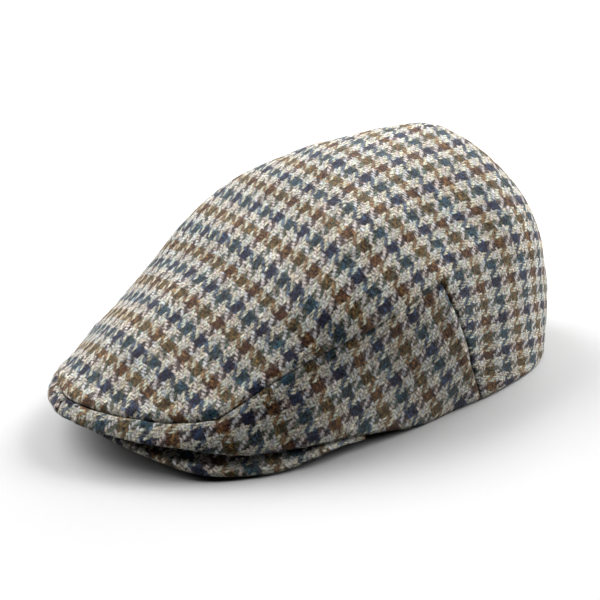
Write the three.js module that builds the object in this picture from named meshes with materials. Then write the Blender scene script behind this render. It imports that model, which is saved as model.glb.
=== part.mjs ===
// Flat cap of thick woven wool: a top panel, two side panels and a short stiff peak.
// Millimetres, +Z up. The front points towards -Y and the wearer's left towards +X.
// The cap stands on z = 0 on its hem and on the two front corners of its peak.
//
// The crown is one smooth closed surface, cut along its seams into panels. A place on it is
// (azimuth, along): azimuth runs from 0 at the front over the wearer's left to 180 at the back,
// and along runs from 0 at the hem to 1 at the highest part of the crown.

import * as THREE from "three";

// ---------------------------------------------------------------- driving sizes
const WALL = 2.0; // thickness of the cloth
const SEAM_GAP = 0.3; // clearance between two sewn panels
const AXIS_Y = 17.4; // the tables' axis lies behind the middle of the cap, where the origin is

// One row for each azimuth in degrees: [radius, height] of the hem, the belly and the top row of a
// meridian, the radius measured from the upright axis of the tables, and the tilt in degrees at
// which the cloth leans down through the top row.
const CROWN = [
  { azimuth: 0, hem: [135, 17], belly: [138, 28.5], top: [78, 65.5], tilt: 30 },
  { azimuth: 20, hem: [133, 16.5], belly: [128, 26.5], top: [75.5, 65.5], tilt: 33 },
  { azimuth: 40, hem: [121, 10.2], belly: [112.5, 32.5], top: [74.5, 70.5], tilt: 39 },
  { azimuth: 60, hem: [99.5, 8.2], belly: [93.5, 52], top: [74, 78], tilt: 43 },
  { azimuth: 90, hem: [80, 0], belly: [82.5, 59], top: [63, 88.5], tilt: 47 },
  { azimuth: 120, hem: [81, 0], belly: [84.5, 56], top: [63.5, 89.5], tilt: 40 },
  { azimuth: 150, hem: [97, 0], belly: [98.5, 51.5], top: [82, 91.5], tilt: 37 },
  { azimuth: 180, hem: [103, 0], belly: [106.5, 51.5], top: [67, 111.5], tilt: 38 },
];
const BELLY_ALONG = 0.3; // where a meridian passes its belly and its top row
const TOP_ALONG = 0.58;
const FULLNESS = 1.05; // of the dome inside the top row

// A shallow valley runs down the middle of the back between two soft shoulders.
const VALLEY = { depth: 2, halfWidth: 15, middleY: 62, halfLength: 26, fromHeight: 60, fullHeight: 90 };

// The seam between the top panel and a side panel, in two runs that meet at the front corner.
const FRONT_SEAM = [
  { azimuth: 0, along: 0.275 },
  { azimuth: 18, along: 0.281 },
  { azimuth: 35, along: 0.273 },
];
const SIDE_SEAM = [
  { azimuth: 35, along: 0.273 },
  { azimuth: 42, along: 0.306 },
  { azimuth: 50, along: 0.305 },
  { azimuth: 60, along: 0.273 },
  { azimuth: 70, along: 0.264 },
  { azimuth: 82, along: 0.294 },
  { azimuth: 100, along: 0.35 },
];
const FRONT_CORNER = 35; // azimuth where the two runs meet
const BACK_CORNER = 100; // azimuth of the top end of the rear seam
const BACK_FOOT = 116.5; // azimuth where the rear seam reaches the hem
const BACK_BOW = 0.4; // how far the rear seam bows forward

// The peak, one row for each azimuth: its outer radius, the height of its lower edge, how much
// its middle rises above the edge, and its thickness.
const PEAK = [
  { azimuth: 0, reach: 131.5, low: 6.8, rise: 8, thickness: 3.7 },
  { azimuth: 20, reach: 132.3, low: 7, rise: 7, thickness: 3.9 },
  { azimuth: 30, reach: 131, low: 3.8, rise: 6.6, thickness: 4 },
  { azimuth: 40, reach: 124, low: 1, rise: 6, thickness: 3.9 },
  { azimuth: 50, reach: 112.5, low: 1.2, rise: 4, thickness: 3.6 },
  { azimuth: 60, reach: 100.5, low: 4.7, rise: 2, thickness: 2.5 },
  { azimuth: 68, reach: 89.5, low: 3.2, rise: 1, thickness: 2.2 },
];
const PEAK_END = 68; // azimuth where the peak ends inside the side panel
const HEAD = { halfWidth: 78, halfLength: 95 }; // oval that the peak's inner edge follows

// Numbers of facets
const FRONT_COLUMNS = 8; // from the middle of the front to the front corner
const SIDE_COLUMNS = 16; // from the front corner to the rear seam
const SIDE_ROWS = 8; // from the hem to the top seam, also down the rear seam
const HEM_COLUMNS = 9; // from the rear seam to the middle of the back
const TOP_ROWS = 14; // from the top panel's edge to its middle
const PEAK_COLUMNS = 44;
const PEAK_ROWS = 8;
const PEAK_EDGE_POINTS = 3; // points on the round outer edge
const RING_SAMPLES = 36; // places on the top row that the dome is worked out from
const WAVES = 12; // waves around the dome

// ---------------------------------------------------------------- curves
const radians = THREE.MathUtils.degToRad;
const range = (count) => Array.from({ length: count }, (_, index) => index);
const span = (from, to, count) => range(count + 1).map((i) => from + ((to - from) * i) / count);

// Slopes of the smooth cubic through (knots, values). An end slope that isn't given is free.
function splineSlopes(knots, values, startSlope, endSlope) {
  const last = knots.length - 1;
  const step = (i) => knots[i + 1] - knots[i];
  const rise = (i) => (values[i + 1] - values[i]) / step(i);
  const rows = knots.map((_, i) => {
    if (i === 0 && startSlope !== undefined) return [0, 1, 0, startSlope];
    if (i === last && endSlope !== undefined) return [0, 1, 0, endSlope];
    if (i === 0) return [0, 2, 1, 3 * rise(0)];
    if (i === last) return [1, 2, 0, 3 * rise(last - 1)];
    const before = 1 / step(i - 1);
    const after = 1 / step(i);
    return [before, 2 * (before + after), after, 3 * (rise(i - 1) * before + rise(i) * after)];
  });
  for (let i = 1; i <= last; i += 1) {
    const factor = rows[i][0] / rows[i - 1][1];
    rows[i][1] -= factor * rows[i - 1][2];
    rows[i][3] -= factor * rows[i - 1][3];
  }
  const slopes = new Array(last + 1).fill(0);
  for (let i = last; i >= 0; i -= 1) {
    const next = i < last ? slopes[i + 1] : 0;
    slopes[i] = (rows[i][3] - rows[i][2] * next) / rows[i][1];
  }
  return slopes;
}

// Value of the cubic with those slopes at one place.
function splineValue(knots, values, slopes, at) {
  const found = knots.findIndex((knot) => knot >= at);
  const i = Math.min(Math.max(found, 1), knots.length - 1) - 1;
  const width = knots[i + 1] - knots[i];
  const u = THREE.MathUtils.clamp((at - knots[i]) / width, 0, 1);
  const away = (1 + 2 * u) * (1 - u) ** 2 * values[i] + u * (1 - u) ** 2 * width * slopes[i];
  const near = u * u * (3 - 2 * u) * values[i + 1] - u * u * (1 - u) * width * slopes[i + 1];
  return away + near;
}

// What `read` takes from each row of a table, as a smooth function of the azimuth. Mirrored
// values are level at their ends, because the cap is the same on both sides.
function tableCurve(table, read, mirrored) {
  const knots = table.map((row) => row.azimuth);
  const values = table.map(read);
  const endSlope = mirrored ? 0 : undefined;
  const slopes = splineSlopes(knots, values, endSlope, endSlope);
  return (azimuth) => splineValue(knots, values, slopes, azimuth);
}

// ---------------------------------------------------------------- surface of the crown
const crownCurve = (read) => tableCurve(CROWN, read, true);
const hemRadius = crownCurve((row) => row.hem[0]);
const hemHeight = crownCurve((row) => row.hem[1]);
const bellyRadius = crownCurve((row) => row.belly[0]);
const bellyHeight = crownCurve((row) => row.belly[1]);
const topRadius = crownCurve((row) => row.top[0]);
const topHeight = crownCurve((row) => row.top[1]);
const topTilt = crownCurve((row) => row.tilt);

const outward = (azimuth) => new THREE.Vector3(Math.sin(radians(azimuth)), -Math.cos(radians(azimuth)), 0);

// Azimuth folded onto 0 to 180, where the tables hold.
const folded = (azimuth) => Math.abs(((((azimuth + 180) % 360) + 360) % 360) - 180);

function atRadius(azimuth, radius, height) {
  return outward(azimuth).multiplyScalar(radius).setZ(height);
}

// Place on the top row, and how fast the dome moves outwards through it.
function topRow(azimuth) {
  const place = folded(azimuth);
  const radius = topRadius(place);
  const tilt = radians(topTilt(place));
  const point = atRadius(azimuth, radius, topHeight(place));
  const slope = atRadius(azimuth, Math.cos(tilt), -Math.sin(tilt)).multiplyScalar(radius * FULLNESS);
  return { point, slope };
}

// The dome inside the top row is the smoothest sheet that leaves the row at its tilt. It is a sum
// of waves around the crown, (edge + (1 - s * s) * bend) * s ** k, where s runs from 0 at the
// middle to 1 at the top row.
const ringSamples = range(RING_SAMPLES).map((i) => {
  const azimuth = (360 * i) / RING_SAMPLES;
  return { azimuth, ...topRow(azimuth) };
});

function waveOf(trig, k) {
  const weight = (k === 0 ? 1 : 2) / RING_SAMPLES;
  const edge = new THREE.Vector3();
  const slope = new THREE.Vector3();
  ringSamples.forEach((sample) => {
    const share = weight * trig(k * radians(sample.azimuth));
    edge.addScaledVector(sample.point, share);
    slope.addScaledVector(sample.slope, share);
  });
  const bend = edge.clone().multiplyScalar(k).sub(slope).multiplyScalar(0.5);
  return { trig, k, edge, slope, bend };
}

const waves = range(WAVES + 1).flatMap((k) => [waveOf(Math.cos, k), waveOf(Math.sin, k)]);

function domePoint(azimuth, s) {
  const point = new THREE.Vector3();
  waves.forEach(({ trig, k, edge, bend }) => {
    const share = trig(k * radians(azimuth)) * s ** k;
    point.addScaledVector(edge, share).addScaledVector(bend, share * (1 - s * s));
  });
  return point;
}

function domeEdgeSlope(azimuth) {
  const total = new THREE.Vector3();
  waves.forEach(({ trig, k, slope }) => total.addScaledVector(slope, trig(k * radians(azimuth))));
  return total;
}

// Height of the valley and its shoulders at one place, to be added to the crown.
function valleyHeight(point) {
  const across = point.x / VALLEY.halfWidth;
  const side = Math.abs(across) - 2.3;
  const along = (point.y - VALLEY.middleY) / VALLEY.halfLength;
  const profile = 0.6 * Math.exp(-side * side) - Math.exp(-across * across);
  const share = (point.z - VALLEY.fromHeight) / (VALLEY.fullHeight - VALLEY.fromHeight);
  return VALLEY.depth * profile * Math.exp(-along * along) * THREE.MathUtils.clamp(share, 0, 1);
}

const meridians = new Map();

// One meridian from the hem to the top row, kept because many facets share it.
function meridian(azimuth) {
  if (!meridians.has(azimuth)) {
    const place = folded(azimuth);
    const points = [
      atRadius(azimuth, hemRadius(place), Math.max(hemHeight(place), 0)),
      atRadius(azimuth, bellyRadius(place), bellyHeight(place)),
      domePoint(azimuth, 1),
    ];
    const arrival = domeEdgeSlope(azimuth).divideScalar(TOP_ALONG - 1);
    const knots = [0, BELLY_ALONG, TOP_ALONG];
    const axes = ["x", "y", "z"].map((axis) => {
      const values = points.map((point) => point[axis]);
      return { values, slopes: splineSlopes(knots, values, undefined, arrival[axis]) };
    });
    meridians.set(azimuth, { knots, axes });
  }
  return meridians.get(azimuth);
}

function crownPoint(azimuth, along) {
  if (along > TOP_ALONG) {
    const dome = domePoint(azimuth, (1 - along) / (1 - TOP_ALONG));
    return dome.setZ(dome.z + valleyHeight(dome));
  }
  const { knots, axes } = meridian(azimuth);
  const [x, y, z] = axes.map(({ values, slopes }) => splineValue(knots, values, slopes, along));
  const point = new THREE.Vector3(x, y, z);
  return point.setZ(z + valleyHeight(point));
}

// Outward normal of the crown. It is level at the hem, so that the hem's foot is flat.
function crownNormal(azimuth, along) {
  const turn = 0.5;
  const rise = 0.004;
  const low = Math.max(along - rise, 0);
  const high = Math.min(along + rise, 0.99);
  const middle = Math.min(along, 0.985);
  const around = crownPoint(azimuth + turn, middle).sub(crownPoint(azimuth - turn, middle));
  const up = crownPoint(azimuth, high).sub(crownPoint(azimuth, Math.min(low, 0.98)));
  const normal = around.cross(up);
  if (along === 0) normal.z = 0;
  return normal.normalize();
}

// ---------------------------------------------------------------- seams
const frontSeam = tableCurve(FRONT_SEAM, (row) => row.along, false);
const sideSeam = tableCurve(SIDE_SEAM, (row) => row.along, false);
const topSeam = (azimuth) => (azimuth <= FRONT_CORNER ? frontSeam(azimuth) : sideSeam(azimuth));

// Azimuth on a line from the hem to the top seam at height share w, bowed like the rear seam.
function bowedAzimuth(footAzimuth, seamAzimuth, w) {
  return footAzimuth + (seamAzimuth - footAzimuth) * (w + BACK_BOW * w * (1 - w));
}

// Azimuth at the hem of the column that reaches the top seam at a given azimuth.
function footOf(seamAzimuth) {
  if (seamAzimuth <= FRONT_CORNER) return seamAzimuth;
  const share = (seamAzimuth - FRONT_CORNER) / (BACK_CORNER - FRONT_CORNER);
  return FRONT_CORNER + (BACK_FOOT - FRONT_CORNER) * share;
}

const SEAM_AZIMUTHS = [
  ...span(0, FRONT_CORNER, FRONT_COLUMNS),
  ...span(FRONT_CORNER, BACK_CORNER, SIDE_COLUMNS).slice(1),
];

// Places down the rear seam, from its top end to the hem.
const REAR_SEAM = span(1, 0, SIDE_ROWS).map((w) => ({
  azimuth: bowedAzimuth(BACK_FOOT, BACK_CORNER, w),
  along: w * topSeam(BACK_CORNER),
}));

// ---------------------------------------------------------------- meshes
function meshOf(name, points, triangles, material) {
  const geometry = new THREE.BufferGeometry();
  const numbers = points.flatMap((point) => [point.x, point.y, point.z]);
  geometry.setAttribute("position", new THREE.Float32BufferAttribute(numbers, 3));
  geometry.setIndex(triangles.flat());
  geometry.computeVertexNormals();
  const mesh = new THREE.Mesh(geometry, material);
  mesh.name = name;
  return mesh;
}

const quad = (a, b, c, d) => [[a, b, c], [a, c, d]];

// Moves the border points of a panel into the panel, along its surface, by half the seam's gap.
// `border` lists places in order, with the panel on the left when seen from outside. At a corner
// the point moves along the bisector, far enough to keep the gap on both sides.
function insetBorder(border, closed) {
  const points = border.map(({ azimuth, along }) => crownPoint(azimuth, along));
  const count = points.length;
  return points.map((point, i) => {
    const { azimuth, along, hem, free } = border[i];
    if (free) return point;
    const normal = crownNormal(azimuth, along);
    const before = points[closed ? (i + count - 1) % count : i - 1];
    const after = points[closed ? (i + 1) % count : i + 1];
    const sides = [];
    if (before) sides.push(normal.clone().cross(point.clone().sub(before)).normalize());
    if (after) sides.push(normal.clone().cross(after.clone().sub(point)).normalize());
    const [first, last] = [sides[0], sides[sides.length - 1]];
    const shift = first.clone().add(last).divideScalar(1 + first.dot(last));
    if (hem) shift.z = 0;
    return point.clone().addScaledVector(shift, SEAM_GAP / 2);
  });
}

// ---------------------------------------------------------------- side panels
// Grid of places, a column for each seam azimuth and a row for each height share.
const sideGrid = SEAM_AZIMUTHS.map((seamAzimuth) =>
  span(0, 1, SIDE_ROWS).map((w) => ({
    azimuth: bowedAzimuth(footOf(seamAzimuth), seamAzimuth, w),
    along: w * topSeam(seamAzimuth),
  })),
);

// Border of a side panel without its hem: down the front, along the top seam and the rear seam.
function sideBorder() {
  const lastColumn = sideGrid.length - 1;
  const rear = range(SIDE_ROWS + 1).map((row) => [lastColumn, row]);
  const top = range(lastColumn).map((i) => [lastColumn - 1 - i, SIDE_ROWS]);
  const front = range(SIDE_ROWS).map((i) => [0, SIDE_ROWS - 1 - i]);
  return [...rear, ...top, ...front];
}

function sidePanel(name, side, material) {
  const rows = SIDE_ROWS + 1;
  const places = sideGrid.flat();
  const outer = places.map(({ azimuth, along }) => crownPoint(azimuth, along));
  const border = sideBorder();
  const borderPlaces = border.map(([column, row]) => {
    const place = sideGrid[column][row];
    return { ...place, hem: row === 0 };
  });
  insetBorder(borderPlaces, false).forEach((point, i) => {
    const [column, row] = border[i];
    outer[column * rows + row] = point;
  });
  const inner = outer.map((point, i) => {
    const normal = crownNormal(places[i].azimuth, places[i].along);
    return point.clone().addScaledVector(normal, -WALL);
  });
  const points = [...outer, ...inner];
  const under = outer.length;
  const triangles = [];
  for (let column = 0; column < sideGrid.length - 1; column += 1) {
    for (let row = 0; row < SIDE_ROWS; row += 1) {
      const a = column * rows + row;
      const b = a + rows;
      triangles.push(...quad(a, b, b + 1, a + 1));
      triangles.push(...quad(under + a + 1, under + b + 1, under + b, under + a));
    }
  }
  const hem = range(sideGrid.length).map((column) => column * rows);
  const edge = border.map(([column, row]) => column * rows + row);
  const loop = [...hem, ...edge.slice(1, -1)];
  loop.forEach((a, i) => {
    const b = loop[(i + 1) % loop.length];
    triangles.push(...quad(a, under + a, under + b, b));
  });
  const mirrored = points.map((point) => new THREE.Vector3(point.x * side, point.y, point.z));
  const turned = side > 0 ? triangles : triangles.map(([a, b, c]) => [a, c, b]);
  return meshOf(name, mirrored, turned, material);
}

// ---------------------------------------------------------------- top panel
// Places around the edge of the top panel on the wearer's left, from front to back.
function leftEdge() {
  const seam = SEAM_AZIMUTHS.map((azimuth) => ({ azimuth, along: topSeam(azimuth) }));
  const rear = REAR_SEAM.slice(1, -1);
  const foot = { azimuth: BACK_FOOT, along: 0, hem: true };
  const hem = span(BACK_FOOT, 180, HEM_COLUMNS)
    .slice(1)
    .map((azimuth) => ({ azimuth, along: 0, hem: true, free: true }));
  return [...seam, ...rear, foot, ...hem];
}

function topPanel(name, material) {
  const left = leftEdge();
  const right = left.slice(1, -1).map((place) => ({ ...place, azimuth: 360 - place.azimuth }));
  const edge = [...left, ...right.reverse()];
  const count = edge.length;
  const rings = range(TOP_ROWS).map((row) =>
    edge.map(({ azimuth, along }) => ({ azimuth, along: along + ((1 - along) * row) / TOP_ROWS })),
  );
  const places = [...rings.flat(), { azimuth: 0, along: 1 }];
  const outer = places.map(({ azimuth, along }) => crownPoint(azimuth, along));
  insetBorder(edge, true).forEach((point, i) => {
    outer[i] = point;
  });
  const inner = outer.map((point, i) => {
    const normal = crownNormal(places[i].azimuth, places[i].along);
    return point.clone().addScaledVector(normal, -WALL);
  });
  const under = outer.length;
  const middle = under - 1;
  const triangles = [];
  for (let i = 0; i < count; i += 1) {
    const next = (i + 1) % count;
    for (let row = 0; row < TOP_ROWS - 1; row += 1) {
      const a = row * count + i;
      const b = row * count + next;
      triangles.push(...quad(a, b, b + count, a + count));
      triangles.push(...quad(under + a + count, under + b + count, under + b, under + a));
    }
    const a = (TOP_ROWS - 1) * count + i;
    const b = (TOP_ROWS - 1) * count + next;
    triangles.push([a, b, middle]);
    triangles.push([under + middle, under + b, under + a]);
    triangles.push(...quad(i, under + i, under + next, next));
  }
  return meshOf(name, [...outer, ...inner], triangles, material);
}

// ---------------------------------------------------------------- peak
const peakCurves = {
  reach: tableCurve(PEAK, (row) => row.reach, false),
  low: tableCurve(PEAK, (row) => row.low, false),
  rise: tableCurve(PEAK, (row) => row.rise, false),
  thickness: tableCurve(PEAK, (row) => row.thickness, false),
};

function headRadius(azimuth) {
  const across = Math.sin(radians(azimuth)) / HEAD.halfWidth;
  const along = Math.cos(radians(azimuth)) / HEAD.halfLength;
  return 1 / Math.hypot(across, along);
}

// One section of the peak: over its top from the head to the edge, round the edge and back.
function peakSection(azimuth) {
  const place = Math.abs(azimuth);
  const inner = headRadius(place);
  const thickness = peakCurves.thickness(place);
  const low = Math.max(peakCurves.low(place), 0);
  const round = thickness / 2;
  const straight = peakCurves.reach(place) - round;
  const arch = (share) => peakCurves.rise(place) * (1 - share * share);
  const top = span(0, 1, PEAK_ROWS).map((share) => {
    const radius = inner + (straight - inner) * share;
    return atRadius(azimuth, radius, low + thickness + arch(share));
  });
  const edge = range(PEAK_EDGE_POINTS).map((i) => {
    const angle = Math.PI / 2 - (Math.PI * (i + 1)) / (PEAK_EDGE_POINTS + 1);
    const radius = straight + round * Math.cos(angle);
    return atRadius(azimuth, radius, low + round + round * Math.sin(angle));
  });
  const bottom = span(1, 0, PEAK_ROWS).map((share) => {
    const radius = inner + (straight - inner) * share;
    return atRadius(azimuth, radius, low + arch(share));
  });
  return [...top, ...edge, ...bottom];
}

function peak(name, material) {
  const sections = span(-PEAK_END, PEAK_END, PEAK_COLUMNS).map(peakSection);
  const count = sections[0].length;
  const triangles = [];
  for (let column = 0; column < PEAK_COLUMNS; column += 1) {
    for (let i = 0; i < count; i += 1) {
      const next = (i + 1) % count;
      const a = column * count;
      const b = a + count;
      triangles.push(...quad(a + i, a + next, b + next, b + i));
    }
  }
  for (let i = 1; i < count - 1; i += 1) {
    const last = PEAK_COLUMNS * count;
    triangles.push([0, i + 1, i]);
    triangles.push([last, last + i, last + i + 1]);
  }
  return meshOf(name, sections.flat(), triangles, material);
}

// ---------------------------------------------------------------- the cap
const cloth = () => new THREE.MeshStandardMaterial({ color: "#8c877e", roughness: 0.95, metalness: 0 });

const cap = new THREE.Group();
cap.position.y = AXIS_Y;
cap.add(topPanel("crown_top", cloth()));
cap.add(sidePanel("side_panel_left", 1, cloth()));
cap.add(sidePanel("side_panel_right", -1, cloth()));
cap.add(peak("peak", cloth()));

export default cap;
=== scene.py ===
"""Flat cap of thick woven houndstooth wool: its cloth panels, seams, folded hem and covered peak.

The front points towards -Y, the wearer's left towards +X, and the cap stands on z = 0. Shapes are
worked out in millimetres about the crown's upright axis and put into the meshes in metres. A
place on the crown is (azimuth, along): azimuth runs in degrees from 0 at the front over the
wearer's left to 180 at the back, along from 0 at the hem to 1 in the middle of the top.
"""

import bpy
import numpy as np
from mathutils import Matrix

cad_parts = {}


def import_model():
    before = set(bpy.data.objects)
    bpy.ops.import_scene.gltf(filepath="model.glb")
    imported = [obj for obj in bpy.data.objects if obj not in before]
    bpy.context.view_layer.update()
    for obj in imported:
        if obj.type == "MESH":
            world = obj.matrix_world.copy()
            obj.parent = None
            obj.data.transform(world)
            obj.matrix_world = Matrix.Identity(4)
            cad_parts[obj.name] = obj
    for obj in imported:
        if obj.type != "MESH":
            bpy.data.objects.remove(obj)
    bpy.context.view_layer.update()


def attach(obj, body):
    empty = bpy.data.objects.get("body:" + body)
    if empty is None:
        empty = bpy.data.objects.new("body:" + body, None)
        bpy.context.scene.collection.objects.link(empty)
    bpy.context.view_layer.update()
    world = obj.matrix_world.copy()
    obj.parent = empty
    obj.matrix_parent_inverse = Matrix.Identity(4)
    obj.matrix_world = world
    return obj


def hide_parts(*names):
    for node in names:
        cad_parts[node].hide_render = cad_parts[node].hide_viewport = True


MM = 0.001
AXIS_Y = 17.4  # the crown's axis lies this far behind the origin
WALL = 2.0  # thickness of the cloth
SEAM_GAP = 0.4  # between the edges of two sewn panels

# ------------------------------------------------------------------ the crown's driving sizes
# azimuth, then radius and height of the hem, the belly and the top row, then the tilt in degrees
# at which the cloth leans down through the top row
CROWN = np.array([
    [0, 135, 17, 138, 28.5, 78, 65.5, 30],
    [20, 133, 16.5, 128, 26.5, 75.5, 65.5, 33],
    [40, 121, 10.2, 112.5, 32.5, 74.5, 70.5, 39],
    [60, 99.5, 8.2, 93.5, 52, 74, 78, 43],
    [90, 80, 0, 82.5, 59, 63, 88.5, 47],
    [120, 81, 0, 84.5, 56, 63.5, 89.5, 40],
    [150, 97, 0, 98.5, 51.5, 82, 91.5, 37],
    [180, 103, 0, 106.5, 51.5, 67, 111.5, 38],
])
BELLY_ALONG, TOP_ALONG = 0.3, 0.58  # along of the belly and of the top row
FULLNESS = 1.05  # length of the dome's slope at the top row, in radii of that row
RING_SAMPLES, WAVES = 36, 12  # places read round the top row, and waves kept of them
VALLEY = {"depth": 2, "half_width": 15, "middle_y": 62, "half_length": 26}
VALLEY_HEIGHTS = (60, 90)  # the valley fades in between these heights
SHOULDER_HEIGHT, SHOULDER_PLACE = 0.6, 2.3  # of its two shoulders, in depths and half widths

# azimuth and along of the seam between the top panel and a side panel
FRONT_SEAM = np.array([[0, 0.275], [18, 0.281], [35, 0.273]])
SIDE_SEAM = np.array([
    [35, 0.273], [42, 0.306], [50, 0.305], [60, 0.273], [70, 0.264], [82, 0.294], [100, 0.35],
])
FRONT_CORNER, BACK_CORNER = 35, 100  # azimuths of the two ends of the side seam
BACK_FOOT, BACK_BOW = 116.5, 0.4  # azimuth of the rear seam at the hem, and how far it bows forward
DART_TOP = 0.57  # the dart at the middle of the back reaches up to this along

# azimuth, reach, height of the lower edge, rise of the middle, thickness
PEAK = np.array([
    [0, 131.5, 6.8, 8, 3.7],
    [20, 132.3, 7, 7, 3.9],
    [30, 131, 3.8, 6.6, 4],
    [40, 124, 1.0, 6, 3.9],
    [50, 112.5, 1.2, 4, 3.6],
    [60, 100.5, 4.7, 2, 2.5],
    [68, 89.5, 3.2, 1, 2.2],
])
PEAK_END = 68  # azimuth at which the peak ends under each side panel
HEAD_HALF_WIDTH, HEAD_HALF_LENGTH = 78, 95  # of the oval that the peak starts from

# ------------------------------------------------------------------ how the cloth lies
HEM_ROUND = 1.9  # radius of the folded hem's edge
# radius at which the cloth turns down into each seam
SEAM_ROUND = {"front": 1.5, "side": 0.7, "rear": 1.5, "middle": 1.0, "dart": 1.1}
# depth and radius of the pucker where the front seam turns into the side seam
CORNER_DIP, CORNER_RADIUS = 1.85, 3
CORNER_GAPE, CORNER_REACH = 2, 9  # how many times wider the gap is there, and for how far
GAP_FADE = 1.5  # distance over which the cloth beside a gap moves less and less
# height of the ridge beside each seam, in the top panel and in a side panel
TOP_PUFF = {"front": 0.75, "side": 0.6, "rear": 0.3, "middle": 0.3, "dart": 0.35}
SIDE_PUFF = {"front": 0.2, "side": 0.3, "rear": 0.55, "middle": 0.3, "dart": 0.3}
RIDGE_PLACE, RIDGE_HALF_WIDTH = 3.6, 2.6  # of that ridge, from the seam's line
# height of the small puckers across a seam, from one to the next, and how far out they reach
PUCKER_HEIGHT, PUCKER_LENGTH, PUCKER_REACH = 0.36, 7.5, 4.5
HEM_BAND = 12  # width of the hem turned up inside
HEM_BAND_THICK, HEM_BAND_END = 1.1, 1.5  # its thickness, and the width in which it runs out
# height, length and seed of each ripple in a surface
CROWN_UNEVEN = ((0.28, 34, 3), (0.1, 13, 4))
INSIDE_UNEVEN = ((0.1, 20, 9),)
PEAK_UNEVEN = ((0.16, 22, 5), (0.07, 9, 6))

# ------------------------------------------------------------------ the weave
WARP_PITCH = 1.3  # from one warp yarn to the next, across the cap
WEFT_PITCH = 1.35  # from one weft yarn to the next, along the cap
PLIES = 1.3  # ply grooves met in the width of one yarn
REPEAT = 8.0  # yarns in one repeat of the pattern: four light ones, then four coloured
YARN_DRIFT, YARN_HAIR = 2.4, 3.0  # how far yarns wander and their hairs stray, in yarn widths
CREASE = 65  # the top panel's weave leans over behind this distance from the middle of the top

# ------------------------------------------------------------------ the studio
MIDDLE_HEIGHT = 0.05  # what the lamps and the camera look at, in metres
# azimuth and elevation in degrees, distance and size in metres, power in watts
LAMPS = {
    "back": (-158, 36, 1.6, 1.7, 85),
    "front": (-62, 46, 1.6, 1.7, 122),
    "side": (166, 34, 1.6, 1.7, 73),
}
DAYLIGHT = 0.02
FLOOR_GREY = (0.2, 0.2, 0.2, 1)


# ------------------------------------------------------------------ curves
def spline_slopes(knots, values, start=None, end=None):
    """Slopes of the smooth cubic through values at knots; an end slope that isn't given is free."""
    count = len(knots)
    step = np.diff(knots)
    wide = step.reshape((-1,) + (1,) * (values.ndim - 1))
    rise = np.diff(values, axis=0) / wide
    matrix = np.zeros((count, count))
    right = np.zeros(values.shape)
    for i in range(1, count - 1):
        before, after = 1 / step[i - 1], 1 / step[i]
        matrix[i, i - 1 : i + 2] = before, 2 * (before + after), after
        right[i] = 3 * (rise[i - 1] * before + rise[i] * after)
    matrix[0, :2], right[0] = ((2, 1), 3 * rise[0]) if start is None else ((1, 0), start)
    matrix[-1, -2:], right[-1] = ((1, 2), 3 * rise[-1]) if end is None else ((0, 1), end)
    return np.linalg.solve(matrix, right.reshape(count, -1)).reshape(values.shape)


def hermite(start, end, slope_start, slope_end, width, u):
    """Cubic from start to end over one step of a width, at share u of the step."""
    near = (1 + 2 * u) * (1 - u) ** 2 * start + u * (1 - u) ** 2 * width * slope_start
    far = u * u * (3 - 2 * u) * end - u * u * (1 - u) * width * slope_end
    return near + far


def spline(knots, values, at, mirrored=False):
    """Smooth cubic through values at knots, read at an array of places; level ends if mirrored."""
    end = 0 * values[0] if mirrored else None
    slopes = spline_slopes(knots, values, end, end)
    i = np.clip(np.searchsorted(knots, at) - 1, 0, len(knots) - 2)
    width = knots[i + 1] - knots[i]
    u = np.clip((at - knots[i]) / width, 0, 1)
    return hermite(values[i], values[i + 1], slopes[i], slopes[i + 1], width, u)


def smooth(low, high, x):
    """0 below low, 1 above high and 3 t**2 - 2 t**3 between."""
    t = np.clip((x - low) / (high - low), 0, 1)
    return t * t * (3 - 2 * t)


# ------------------------------------------------------------------ surface of the crown
def at_radius(azimuth, radius, height):
    """Point at a radius and height on the side of the axis that azimuth looks to."""
    turn = np.radians(azimuth)
    return np.stack(np.broadcast_arrays(radius * np.sin(turn), -radius * np.cos(turn), height), -1)


def crown_column(column, azimuth):
    """A column of the crown's table at an azimuth on either side: a smooth cubic round the cap."""
    place = np.abs((azimuth + 180) % 360 - 180)
    return spline(CROWN[:, 0], CROWN[:, column], place, mirrored=True)


def waves_of(samples, trig):
    """Fourier shares of ring samples, for waves 0 to WAVES around the ring."""
    turns = np.outer(np.arange(WAVES + 1), np.radians(np.arange(RING_SAMPLES) * 360 / RING_SAMPLES))
    weight = np.where(np.arange(WAVES + 1) == 0, 1, 2)[:, None] / RING_SAMPLES
    return trig(turns) * weight @ samples


def dome_waves():
    """Edge, bend and edge slope of each wave. The dome is the sum over both trigs and all k of
    (edge + (1 - s**2) bend) s**k trig(k azimuth), the smoothest sheet inside the top row."""
    azimuth = np.arange(RING_SAMPLES) * 360 / RING_SAMPLES
    radius, height = crown_column(5, azimuth), crown_column(6, azimuth)
    tilt = np.radians(crown_column(7, azimuth))
    points = at_radius(azimuth, radius, height)
    slopes = at_radius(azimuth, np.cos(tilt), -np.sin(tilt)) * (radius * FULLNESS)[:, None]
    k = np.arange(WAVES + 1)[:, None]
    waves = []
    for trig in (np.cos, np.sin):
        edge, slope = waves_of(points, trig), waves_of(slopes, trig)
        waves.append((trig, edge, (edge * k - slope) / 2, slope))
    return waves


DOME = dome_waves()


def dome(azimuth, s):
    """The dome at share s of the way from its middle to the top row, and its slope at the row."""
    k = np.arange(WAVES + 1)
    turns = np.radians(azimuth)[..., None] * k
    point, edge_slope = 0, 0
    for trig, edge, bend, slope in DOME:
        share = trig(turns) * s[..., None] ** k
        point = point + share @ edge + share @ bend * (1 - s * s)[..., None]
        edge_slope = edge_slope + trig(turns) @ slope
    return point, edge_slope


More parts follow.
